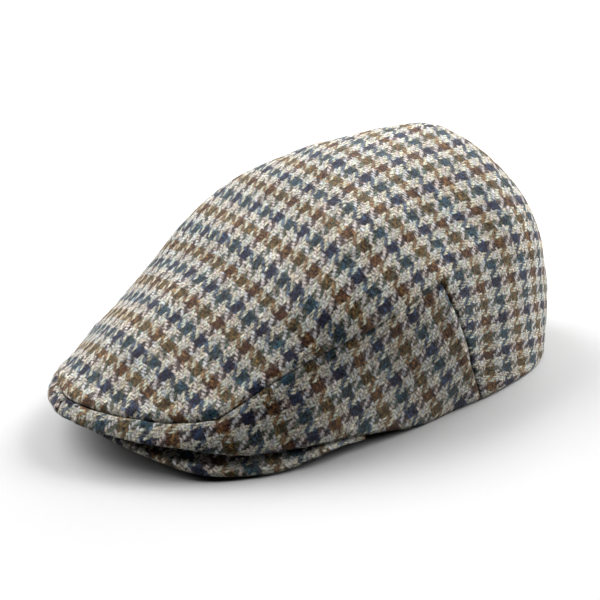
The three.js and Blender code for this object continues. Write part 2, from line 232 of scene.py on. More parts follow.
def crown(azimuth, along):
    """Points of the crown. Below the top row a smooth cubic leaves the hem, passes the belly and
    meets the dome at its slope. A valley between two soft shoulders runs down the back."""
    azimuth, along = np.broadcast_arrays(np.asarray(azimuth, float), np.asarray(along, float))
    inner, edge_slope = dome(azimuth, np.clip((1 - along) / (1 - TOP_ALONG), 0, 1))
    rows = np.stack([
        at_radius(azimuth, crown_column(1, azimuth), np.maximum(crown_column(2, azimuth), 0)),
        at_radius(azimuth, crown_column(3, azimuth), crown_column(4, azimuth)),
        dome(azimuth, np.ones_like(along))[0],
    ])
    knots = np.array([0, BELLY_ALONG, TOP_ALONG])
    slopes = spline_slopes(knots, rows, None, -edge_slope / (1 - TOP_ALONG))
    upper = (along > BELLY_ALONG)[..., None]
    width = np.where(upper, TOP_ALONG - BELLY_ALONG, BELLY_ALONG)
    u = np.clip((along[..., None] - np.where(upper, BELLY_ALONG, 0)) / width, 0, 1)
    ends = [np.where(upper, rows[1], rows[0]), np.where(upper, rows[2], rows[1])]
    turns = [np.where(upper, slopes[1], slopes[0]), np.where(upper, slopes[2], slopes[1])]
    band = hermite(*ends, *turns, width, u)
    points = np.where((along > TOP_ALONG)[..., None], inner, band)
    x, y, z = np.moveaxis(points, -1, 0)
    across = x / VALLEY["half_width"]
    shoulders = SHOULDER_HEIGHT * np.exp(-((np.abs(across) - SHOULDER_PLACE) ** 2))
    profile = shoulders - np.exp(-(across**2))
    length = (y - VALLEY["middle_y"]) / VALLEY["half_length"]
    low, high = VALLEY_HEIGHTS
    fade = np.clip((z - low) / (high - low), 0, 1)
    points[..., 2] += VALLEY["depth"] * profile * np.exp(-(length**2)) * fade
    return points


def unit(vectors):
    """Vectors over their lengths."""
    return vectors / np.maximum(np.linalg.norm(vectors, axis=-1, keepdims=True), 1e-12)


def crown_normal(azimuth, along):
    """Outward normal: around the crown times up it, each between two places close by, which stop
    short of the middle of the top, where all columns meet. It is level at the hem."""
    turn, step = 0.5, 0.004
    low, high = np.clip(along - step, 0, 0.98), np.clip(along + step, step, 0.99)
    middle = np.minimum(along, 0.985)
    around = crown(azimuth + turn, middle) - crown(azimuth - turn, middle)
    normal = np.cross(around, crown(azimuth, high) - crown(azimuth, low))
    normal[..., 2] *= smooth(-0.001, 0.02, along)
    return unit(normal)


# ------------------------------------------------------------------ seams
def top_seam(azimuth):
    """Along of the top panel's edge: the front run up to the corner, the side run behind it."""
    front = spline(FRONT_SEAM[:, 0], FRONT_SEAM[:, 1], np.minimum(azimuth, FRONT_CORNER))
    side = spline(SIDE_SEAM[:, 0], SIDE_SEAM[:, 1], np.clip(azimuth, FRONT_CORNER, BACK_CORNER))
    return np.where(azimuth <= FRONT_CORNER, front, side)


def bowed(foot, seam_azimuth, w):
    """Azimuth on the way from the hem to the top seam at height share w, bowed forward."""
    return foot + (seam_azimuth - foot) * (w + BACK_BOW * w * (1 - w))


def side_place(seam_azimuth, w):
    """Place in a side panel, on the column that reaches the top seam at seam_azimuth."""
    share = np.clip((seam_azimuth - FRONT_CORNER) / (BACK_CORNER - FRONT_CORNER), 0, 1)
    foot = np.minimum(seam_azimuth, FRONT_CORNER) + (BACK_FOOT - FRONT_CORNER) * share
    return bowed(foot, seam_azimuth, w), w * top_seam(seam_azimuth)


def spread(low, high, count, finer=1.0):
    """count + 1 places from low to high, closer together near low where finer is above 1."""
    return low + (high - low) * np.linspace(0, 1, count + 1) ** finer


def seam_lines():
    """Closely spaced points along each seam on the wearer's left, as arrays in millimetres."""
    front = spread(0, FRONT_CORNER, 160)
    side = spread(FRONT_CORNER, BACK_CORNER, 300)
    hem = spread(0, 180, 600)
    w = spread(0, 1, 120)
    rear = side_place(np.full_like(w, BACK_CORNER), w)
    middle = side_place(np.zeros_like(w), w)
    return {
        "front": crown(front, top_seam(front)),
        "side": crown(side, top_seam(side)),
        "rear": crown(*rear),
        "middle": crown(*middle),
        "dart": crown(180, spread(0, DART_TOP, 160)),
        "hem": crown(hem, 0 * hem),
    }


def mirrored_line(line):
    """A line on the wearer's left and its mirror image, as one array of points."""
    return np.concatenate([line, line[::-1] * [-1, 1, 1]])


def run_along(line):
    """Distance along a line of points from its first to each of them."""
    return np.concatenate([[0], np.cumsum(np.linalg.norm(np.diff(line, axis=0), axis=1))])


def nearest(points, line):
    """Distance from each point to a line of points, and how far along the line that is."""
    flat = points.reshape(-1, 3)
    at_a_time = 4000
    run = run_along(line)
    distance, place = [], []
    for part in np.array_split(flat, 1 + len(flat) // at_a_time):
        square = (part**2).sum(1)[:, None] + (line**2).sum(1) - 2 * part @ line.T
        closest = square.argmin(1)
        distance.append(np.sqrt(np.maximum(square[np.arange(len(part)), closest], 0)))
        place.append(run[closest])
    shape = points.shape[:-1]
    return np.concatenate(distance).reshape(shape), np.concatenate(place).reshape(shape)


def corner_distance(points, lines):
    """Distance to the place on either side where the front seam turns into the side seam."""
    return nearest(points, mirrored_line(lines["side"][:1]))[0]


def ripple(points, size, seed, count=14):
    """Gentle unevenness of about unit height: the sum of count plane waves with random ways and
    phases, whose lengths lie round size, over the square root of half their count."""
    rng = np.random.default_rng(seed)
    total = 0
    for _ in range(count):
        way = unit(rng.normal(size=3)) * 2 * np.pi / (size * rng.uniform(0.7, 1.5))
        total = total + np.sin(points @ way + rng.uniform(0, 2 * np.pi))
    return total * np.sqrt(2 / count)


def unevenness(points, ripples):
    """Sum of ripples, each of its own height, size and seed."""
    return sum(height * ripple(points, size, seed) for height, size, seed in ripples)


def turned_down(distance, radius):
    """How far cloth has sunk at a distance from the edge it turns down into: a quarter round."""
    t = np.clip(1 - distance / radius, 0, 1)
    return radius * (1 - np.sqrt(np.maximum(1 - t * t, 0)))


def relief(points, lines, hem_distance, puff):
    """Height of the cloth above the crown, in millimetres: the ridge that the turned-in allowances
    raise beside each seam (puff gives its height), its puckers and the unevenness of the whole
    cloth, less the deepest of the quarter rounds down into the seams, the rounded fold of the hem
    and the pucker where the front seam turns into the side seam."""
    height = unevenness(points, CROWN_UNEVEN)
    sink = turned_down(hem_distance, HEM_ROUND)
    for seed, name in enumerate(SEAM_ROUND):
        distance, place = nearest(points, mirrored_line(lines[name]))
        sink = np.maximum(sink, turned_down(distance, SEAM_ROUND[name]))
        height += puff[name] * np.exp(-(((distance - RIDGE_PLACE) / RIDGE_HALF_WIDTH) ** 2))
        wave = np.sin(2 * np.pi * place / PUCKER_LENGTH + 1.9 * np.sin(place / 9 + seed))
        pucker = PUCKER_HEIGHT * wave * np.exp(-distance / PUCKER_REACH)
        height += pucker * smooth(0, 1.2, distance)
    corner = corner_distance(points, lines) / CORNER_RADIUS
    return height - np.maximum(sink, CORNER_DIP * np.exp(-(corner**2)))


# ------------------------------------------------------------------ flat pattern of a panel
def triangle_gradients(points, corners):
    """For each triangle, the shares of its corners in the gradient of a field in the triangle's
    own plane, with x along its first side and y square to it, and the triangle's area."""
    first, second, third = (points[corners[:, i]] for i in range(3))
    side = np.linalg.norm(second - first, axis=1)
    reach = third - first
    x = (reach * unit(second - first)).sum(1)
    y = np.sqrt((reach**2).sum(1) - x * x)
    shares_x = np.stack([-1 / side, 1 / side, 0 * side], 1)
    shares_y = np.stack([(x / side - 1) / y, -x / side / y, 1 / y], 1)
    return shares_x, shares_y, side * y / 2


class FlatPattern:
    """Cloth coordinates (u across the cap, v along it, in millimetres) of one half panel: the flat
    pattern that stretches least. It takes turns between finding each triangle's best turn and a
    least squares fit of the gradients to those turns, on a grid over the whole half crown in which
    triangles outside the panel hardly count."""

    COLUMNS, ROWS = 26, 30
    ROUNDS = 60
    OUTSIDE = 0.004  # weight of the triangles outside the panel
    HOLD = 1e4  # weight that holds a pinned point at 0

    def __init__(self, inside, start, pins):
        azimuths = np.linspace(0, 180, self.COLUMNS + 1)
        alongs = np.linspace(0, 1, self.ROWS + 1)
        azimuth, along = np.meshgrid(azimuths, alongs, indexing="ij")
        points = crown(azimuth, along)
        number = np.arange(azimuth.size).reshape(azimuth.shape)
        number[:, -1] = number[0, -1]
        a, b, c, d = number[:-1, :-1], number[1:, :-1], number[1:, 1:], number[:-1, 1:]
        corners = np.concatenate([np.stack([a, b, c], -1), np.stack([a, c, d], -1)]).reshape(-1, 3)
        corners = corners[(corners[:, 1] != corners[:, 2]) & (corners[:, 0] != corners[:, 2])]
        shares_x, shares_y, area = triangle_gradients(points.reshape(-1, 3), corners)
        weight = area * (self.OUTSIDE + inside(azimuth, along).ravel()[corners].mean(1))
        count = azimuth.size
        normal = np.zeros((count, count))
        for p in range(3):
            for q in range(3):
                product = shares_x[:, p] * shares_x[:, q] + shares_y[:, p] * shares_y[:, q]
                np.add.at(normal, (corners[:, p], corners[:, q]), product * weight)
        unused = np.setdiff1d(np.arange(count), corners.ravel())
        normal[unused, unused] = 1
        solvers = []
        for held in pins(number):
            fixed = normal.copy()
            fixed[held, held] += self.HOLD
            solvers.append(np.linalg.inv(fixed))
        values = np.stack([field.ravel() for field in start(azimuth, along, points)])
        for _ in range(self.ROUNDS):
            slope_x = (values[:, corners] * shares_x).sum(2)
            slope_y = (values[:, corners] * shares_y).sum(2)
            turn = np.arctan2(slope_y[0] - slope_x[1], slope_x[0] + slope_y[1])
            cos, sin = np.cos(turn), np.sin(turn)
            for row, (along_x, along_y) in enumerate(((cos, sin), (-sin, cos))):
                pull = (along_x[:, None] * shares_x + along_y[:, None] * shares_y) * weight[:, None]
                total = np.bincount(corners.ravel(), pull.ravel(), count)
                values[row] = solvers[row] @ total
        values = values.T
        values[number[:, -1]] = values[number[0, -1]]
        self.values = values.reshape(azimuth.shape + (2,))

    def at(self, azimuth, along):
        """Cloth coordinates at places of the crown, smoothly from the 4 by 4 grid values round
        each. They are those of the wearer's left on both sides."""
        place = np.abs((azimuth + 180) % 360 - 180)
        padded = np.pad(self.values, ((1, 1), (1, 1), (0, 0)), mode="reflect", reflect_type="odd")
        total = 0
        i, share_i = whole_and_share(place / 180 * self.COLUMNS, self.COLUMNS)
        j, share_j = whole_and_share(along * self.ROWS, self.ROWS)
        for step_i, weight_i in enumerate(four_weights(share_i)):
            for step_j, weight_j in enumerate(four_weights(share_j)):
                weight = (weight_i * weight_j)[..., None]
                total = total + padded[i + step_i, j + step_j] * weight
        return total


def whole_and_share(place, count):
    """Number of the grid step that a place lies in, out of count, and its share of that step."""
    whole = np.clip(np.floor(place).astype(int), 0, count - 1)
    return whole, place - whole


def four_weights(t):
    """Weights of four neighbours in a row, for a smooth curve through them at share t."""
    return (
        (-t + 2 * t**2 - t**3) / 2,
        (2 - 5 * t**2 + 3 * t**3) / 2,
        (t + 4 * t**2 - 3 * t**3) / 2,
        (t**3 - t**2) / 2,
    )


def behind_rear_seam(azimuth, along):
    """True behind the rear seam, whose azimuth at a height is that of its line there."""
    w = np.linspace(0, 1, 60)
    seam_azimuth, seam_along = side_place(np.full_like(w, BACK_CORNER), w)
    return azimuth > np.interp(along, seam_along, seam_azimuth)


def in_side_panel(azimuth, along):
    """1 in the side panel, with a little to spare above its seam, and 0 elsewhere."""
    seam = top_seam(np.minimum(azimuth, BACK_CORNER))
    below = along <= seam + 0.01
    return (below & ~behind_rear_seam(azimuth, along)).astype(float)


def in_top_panel(azimuth, along):
    """1 outside the side panel and 0 in it."""
    return 1 - in_side_panel(azimuth, along)


def top_start(azimuth, along, points):
    """Unrolled from the middle of the top: the way down from it, laid off towards azimuth."""
    steps = np.linalg.norm(np.diff(points, axis=1), axis=2)
    down = np.concatenate([np.cumsum(steps[:, ::-1], 1)[:, ::-1], np.zeros((len(steps), 1))], 1)
    turn = np.radians(azimuth)
    return down * np.sin(turn), -down * np.cos(turn)


def side_start(azimuth, along, points):
    """Unrolled along the belly: u down from the hem's height, v along the belly from the front."""
    steps = np.linalg.norm(np.diff(points, axis=1), axis=2)
    up = np.concatenate([np.zeros((len(steps), 1)), np.cumsum(steps, 1)], 1)
    below_belly = 8
    run = run_along(points[:, below_belly])
    return -up, np.broadcast_to(run[:, None], up.shape)


def top_pins(number):
    """Grid points at which u is 0, down the middle of the front and above the dart, and the point
    at which v is 0, the middle of the top."""
    above_dart = 18
    return np.r_[number[0], number[-1, above_dart:]], number[0, -1]


def side_pins(number):
    """Grid point of the hem at which u and v are 0."""
    foot = number[8, 0]
    return foot, foot


def top_weave(cloth, side):
    """Where the yarns lie in the top panel, side being 1 on the wearer's left and -1 on the right.
    The cloth leans a little over behind the crease and its yarns lie closer down the sides. Its
    rows rise backwards towards the sides, v = (v + 65) / (1 + 0.00003 u**2) - 65, and lie closer
    behind the middle of the top."""
    start_u, start_v = 9.6, 12.6
    u, v = cloth[..., 0] * side, cloth[..., 1]
    behind = np.maximum(v + CREASE, 0)
    before = np.clip(-CREASE - v, 0, 30)
    lean = u * (0.95 + 0.0009 * behind) + 0.135 * behind + 0.1 * before
    lean = lean + 0.16 * np.sign(u) * np.maximum(np.abs(u) - 60, 0)
    rise = np.where(behind > 0, behind / (1 + 3e-5 * u * u) - CREASE, v)
    rise = rise + 0.13 * np.maximum(rise + 30, 0)
    return np.stack([lean + start_u, rise + start_v], -1)


def side_weave(cloth, side):
    """Where the yarns lie in a side panel: the cloth bends evenly round a wide circle below the
    hem, so its rows turn from level at the front to steep at the rear seam."""
    bend, first_turn, sunk = 308.6, np.radians(21), 20
    closer_u, closer_v, start_u, start_v = 1.06, 0.955, 7, 6.2
    turn = first_turn + cloth[..., 1] / bend
    radius = bend - cloth[..., 0] - sunk
    u = -closer_u * radius * np.cos(turn) + start_u
    v = closer_v * radius * np.sin(turn) + start_v
    return np.stack([u * side, v], -1)


def peak_weave(cloth, side):
    """Where the yarns lie in the peak: straight across it and along it."""
    return cloth * np.stack([side, np.ones_like(side)], -1)


# ------------------------------------------------------------------ meshes
def cloth_mesh(name, points, quads, triangles, cloth, facing, weave, material):
    """Object of one piece of cloth, from points in millimetres about the crown's axis, flat
    pattern coordinates at each point, the side of the cap each face lies on (1 for the wearer's
    left and -1 for the right) and the way the yarns lie in the piece."""
    mesh = bpy.data.meshes.new(name)
    place = (points.reshape(-1, 3) + [0, AXIS_Y, 0]) * MM
    mesh.from_pydata(place.tolist(), [], quads.tolist() + triangles.tolist())
    corner = np.empty(len(mesh.loops), dtype=np.int32)
    mesh.loops.foreach_get("vertex_index", corner)
    corners_in_face = np.repeat([4, 3], [len(quads), len(triangles)])
    side = np.repeat(np.broadcast_to(facing, len(corners_in_face)), corners_in_face)
    spots = weave(cloth.reshape(-1, 2)[corner], side) * MM
    layer = mesh.uv_layers.new(name="cloth")
    layer.data.foreach_set("uv", spots.astype(np.float32).ravel())
    mesh.polygons.foreach_set("use_smooth", np.ones(len(mesh.polygons), dtype=bool))
    mesh.materials.append(material)
    mesh.update()
    piece = bpy.data.objects.new(name, mesh)
    bpy.context.scene.collection.objects.link(piece)
    return piece


def grid_quads(number, closed=False):
    """Quads of a grid of point numbers, columns first, seen from outside."""
    after = np.roll(number, -1, 0) if closed else number[1:]
    here = number if closed else number[:-1]
    quads = np.stack([here[:, :-1], after[:, :-1], after[:, 1:], here[:, 1:]], -1)
    return quads.reshape(-1, 4)


def rim_quads(outer, inner):
    """Quads between matching closed loops of point numbers on the outside and the inside."""
    quads = np.stack([outer, inner, np.roll(inner, -1), np.roll(outer, -1)], -1)
    return quads.reshape(-1, 4)


def two_sides(azimuth, along, lines, puff):
    """Outer and inner points of a piece of the crown's cloth. The outer side stands on the crown by
    its relief, the inner side lies a wall below, and a band is turned up inside the hem."""
    base = crown(azimuth, along)
    normal = crown_normal(azimuth, along)
    hem_distance = nearest(base, mirrored_line(lines["hem"]))[0]
    outer = base + normal * relief(base, lines, hem_distance, puff)[..., None]
    band = HEM_BAND_THICK * (1 - smooth(HEM_BAND, HEM_BAND + HEM_BAND_END, hem_distance))
    under = WALL + band + unevenness(base, INSIDE_UNEVEN)
    inner = base - normal * under[..., None]
    for side in (outer, inner):
        side[..., 2] = np.maximum(side[..., 2], 0)
    return outer, inner


def draw_in(rows, lines):
    """Draws the edge of a face, its first row, away from the seam by about half the gap that a
    seam leaves. The gap is uneven along the seam, narrow down the side seam and widest where the
    front seam turns into it. The draw fades out over a few millimetres."""
    edge, further_in = rows[0], rows[5]
    on_side = 1 - smooth(1, 4, nearest(edge, mirrored_line(lines["side"]))[0])
    corner = np.exp(-((corner_distance(edge, lines) / CORNER_REACH) ** 2))
    share = np.clip(1 + 0.9 * ripple(edge, 9, 12), 0.1, 2) * (1 - 0.6 * on_side)
    gap = (share + CORNER_GAPE * corner)[:, None]
    distance = np.linalg.norm(rows - edge, axis=-1, keepdims=True)
    rows += unit(further_in - edge) * np.exp(-distance / GAP_FADE) * gap * SEAM_GAP / 2


def seam_places(front, side):
    """Azimuths along the top seam, in so many steps on its front run and on its side run."""
    return np.concatenate([spread(0, FRONT_CORNER, front), spread(FRONT_CORNER, BACK_CORNER, side)[1:]])


def crown_top(pattern, lines, material):
    """The top panel: rings from its edge to the middle of the top, closed there by a point. Its
    columns follow azimuth; down the rear seams and along the hem they follow the edge."""
    seam = seam_places(44, 90)
    w = spread(1, 0, 24)[1:-1]
    rear_azimuth, rear_along = side_place(np.full_like(w, BACK_CORNER), w)
    hem = spread(BACK_FOOT, 180, 62)
    azimuth = np.concatenate([seam, rear_azimuth, hem])
    along = np.concatenate([top_seam(seam), rear_along, 0 * hem])
    azimuth = np.concatenate([azimuth, 360 - azimuth[-2:0:-1]])
    along = np.concatenate([along, along[-2:0:-1]])
    rows = 96
    share = spread(0, 1, rows, finer=1.35)[:-1]
    azimuths = np.repeat(azimuth[:, None], rows, 1)
    alongs = along[:, None] + (1 - along[:, None]) * share
    outer, inner = two_sides(azimuths, alongs, lines, TOP_PUFF)
    for face in (outer, inner):
        draw_in(face.swapaxes(0, 1), lines)
    cloth = pattern.at(azimuths, alongs)
    pole = np.array([0.0]), np.array([1.0])
    pole_outer, pole_inner = two_sides(*pole, lines, TOP_PUFF)
    columns = len(azimuth)
    number = np.arange(columns * rows).reshape(columns, rows)
    under = number + columns * rows + 1
    top, bottom = columns * rows, 2 * columns * rows + 1
    points = np.concatenate([outer.reshape(-1, 3), pole_outer, inner.reshape(-1, 3), pole_inner])
    cloths = np.concatenate([cloth.reshape(-1, 2), pattern.at(*pole)])
    quads = np.concatenate([
        grid_quads(number, closed=True),
        grid_quads(under, closed=True)[:, ::-1],
        rim_quads(number[:, 0], under[:, 0]),
    ])
    last, turn = number[:, -1], np.roll(number[:, -1], -1)
    fan = np.stack([last, turn, np.full(columns, top)], -1)
    fan_under = np.stack([turn + top + 1, last + top + 1, np.full(columns, bottom)], -1)
    triangles = np.concatenate([fan, fan_under])
    side = np.where(np.arange(columns) < columns // 2, 1.0, -1.0)
    quad_sides = np.repeat(side, rows - 1)
    facing = np.concatenate([quad_sides, quad_sides, side, side, side])
    cloth = np.concatenate([cloths, cloths])
    return cloth_mesh(
        "cloth_crown_top", points, quads, triangles, cloth, facing, top_weave, material
    )


def side_panel(name, side, pattern, lines, material):
    """A side panel: columns from the hem to the top seam, from the middle of the front to the
    rear seam. side is 1 on the wearer's left and -1 on the right."""
    seam = seam_places(66, 150)
    rows = 44
    seam_azimuth, w = np.meshgrid(seam, spread(0, 1, rows), indexing="ij")
    azimuth, along = side_place(seam_azimuth, w)
    outer, inner = two_sides(azimuth, along, lines, SIDE_PUFF)
    for face in (outer, inner):
        draw_in(face, lines)
        draw_in(face[::-1], lines)
        draw_in(face[:, ::-1].swapaxes(0, 1), lines)
    cloth = pattern.at(azimuth, along)
    number = np.arange(azimuth.size).reshape(azimuth.shape)
    under = number + azimuth.size
    loop = np.concatenate([number[:-1, 0], number[-1, :-1], number[:0:-1, -1], number[0, :0:-1]])
    quads = np.concatenate([
        grid_quads(number), grid_quads(under)[:, ::-1], rim_quads(loop, loop + azimuth.size)
    ])
    points = np.concatenate([outer.reshape(-1, 3), inner.reshape(-1, 3)]) * [side, 1, 1]
    quads = quads if side > 0 else quads[:, ::-1]
    none = np.zeros((0, 3), int)
    cloth = np.concatenate([cloth, cloth])
    return cloth_mesh(name, points, quads, none, cloth, float(side), side_weave, material)


def peak(material):
    """The covered peak: at each azimuth a section over its top from the head to the edge, round
    the edge and back under it, carried round the front."""
    columns, top_rows, edge_rows = 280, 40, 12
    azimuth = np.linspace(-PEAK_END, PEAK_END, columns + 1)[:, None]
    place = np.abs(azimuth)
    reach, low, rise, thick = (spline(PEAK[:, 0], PEAK[:, i], place) for i in (1, 2, 3, 4))
    turn = np.radians(place)
    inner = 1 / np.hypot(np.sin(turn) / HEAD_HALF_WIDTH, np.cos(turn) / HEAD_HALF_LENGTH)
    low = np.maximum(low, 0)
    straight = reach - thick / 2
    share = spread(0, 1, top_rows)[None]
    out = inner + (straight - inner) * share
    over = at_radius(azimuth, out, low + thick + rise * (1 - share**2))
    back = at_radius(azimuth, out, low + rise * (1 - share**2))
    angle = np.pi / 2 - np.pi * np.arange(1, edge_rows) / edge_rows
    edge = at_radius(
        azimuth, straight + thick / 2 * np.cos(angle), low + thick / 2 * (1 + np.sin(angle))
    )
    section = np.concatenate([over, edge, back[:, ::-1]], 1)
    run = np.cumsum(np.linalg.norm(np.diff(section, axis=1), axis=2), 1)
    run = inner + np.concatenate([np.zeros((columns + 1, 1)), run], 1)
    cloth = at_radius(azimuth, run, 0)[..., :2]
    around = np.gradient(section, axis=0)
    ahead = np.gradient(section, axis=1)
    normal = unit(np.cross(ahead, around))
    section = section + normal * unevenness(section, PEAK_UNEVEN)[..., None]
    section[..., 2] = np.maximum(section[..., 2], 0)
    number = np.arange(section[..., 0].size).reshape(section.shape[:2])
    ring = np.concatenate([number, number[:, :1]], 1)
    quads = grid_quads(ring)[:, ::-1]
    ends = []
    for column, way in ((0, -1), (-1, 1)):
        loop = number[column][::way]
        first = np.full(len(loop) - 2, loop[0])
        ends.append(np.stack([first, loop[1:-1], loop[2:]], -1))
    return cloth_mesh(
        "cloth_peak", section, quads, np.concatenate(ends), cloth, 1.0, peak_weave, material
    )


# ------------------------------------------------------------------ shader nodes
class Value:
    """A number in a shader: arithmetic on it adds Math nodes."""

    def __init__(self, shader, socket):
        self.shader, self.socket = shader, socket

    def math(self, operation, *others):
        """Math node of an operation on this number and others."""
        return self.shader.math(operation, self, *others)

    def __add__(self, other):
        return self.math("ADD", other)

    def __sub__(self, other):
        return self.math("SUBTRACT", other)

    def __rsub__(self, other):
        return self.shader.math("SUBTRACT", other, self)

    def __mul__(self, other):
        return self.math("MULTIPLY", other)

    def __mod__(self, other):
        return self.math("FLOORED_MODULO", other)

    def __lt__(self, other):
        return self.math("LESS_THAN", other)

    def __gt__(self, other):
        return self.math("GREATER_THAN", other)

    __radd__, __rmul__ = __add__, __mul__


class Shader:
    """A new material's nodes, with one method that adds any node."""

    def __init__(self, name):
        self.material = bpy.data.materials.new(name)
        self.material.use_nodes = True
        self.tree = self.material.node_tree
        self.tree.nodes.clear()

    def node(self, kind, settings=None, inputs=None):
        """Adds a node of a kind, sets its settings, then its sockets' values or links."""
        made = self.tree.nodes.new("ShaderNode" + kind)
        for key, value in (settings or {}).items():
            setattr(made, key, value)
        for key, value in (inputs or {}).items():
            self.feed(made.inputs[key], value)
        return made

    def feed(self, socket, value):
        """Links a socket to a number or another socket, or sets its value."""
        if isinstance(value, Value):
            value = value.socket
        if isinstance(value, bpy.types.NodeSocket):
            self.tree.links.new(value, socket)
        else:
            socket.default_value = value

    def math(self, operation, *values):
        """Number made by a Math node of an operation."""
        made = self.node("Math", {"operation": operation}, dict(enumerate(values)))
        return Value(self, made.outputs[0])

    def mix(self, share, first, second, blend="MIX"):
        """Colour a share of the way from first to second, or from first to their blend."""
        settings = {"data_type": "RGBA", "blend_type": blend}
        return self.node("Mix", settings, {0: share, 6: first, 7: second}).outputs[2]

    def vector(self, x, y, z=0.0):
        """Vector of three numbers."""
        return self.node("CombineXYZ", None, {0: x, 1: y, 2: z}).outputs[0]

    def noise(self, vector, scale, detail=2.0, roughness=0.5):
        """Smooth noise from 0 to 1, of so many lumps in a metre."""
        made = self.node(
            "TexNoise", {"noise_dimensions": "3D"},
            {"Vector": vector, "Scale": scale, "Detail": detail, "Roughness": roughness},
        )
        return Value(self, made.outputs["Fac"])

    def random(self, vector):
        """Random number from 0 to 1 for each vector."""
        made = self.node("TexWhiteNoise", {"noise_dimensions": "3D"}, {"Vector": vector})
        return Value(self, made.outputs["Value"])


def srgb(red, green, blue):
    """Linear colour of the usual 0 to 255 numbers."""
    value = np.array([red, green, blue]) / 255
    linear = np.where(value <= 0.04045, value / 12.92, ((value + 0.055) / 1.055) ** 2.4)
    return (*linear.tolist(), 1.0)


# two tones of each yarn, between which its heather wanders
CREAM, PALE_SAGE = srgb(232, 219, 188), srgb(192, 204, 190)
PALE_ROSE, PALE_BLUE = srgb(230, 209, 194), srgb(190, 196, 203)
PLUM, UMBER = srgb(36, 20, 34), srgb(58, 32, 20)
OLIVE, SEA_GREEN = srgb(82, 78, 30), srgb(40, 80, 74)
RUST, OCHRE = srgb(104, 62, 38), srgb(146, 108, 58)
NAVY, STEEL_BLUE = srgb(28, 34, 72), srgb(56, 88, 122)


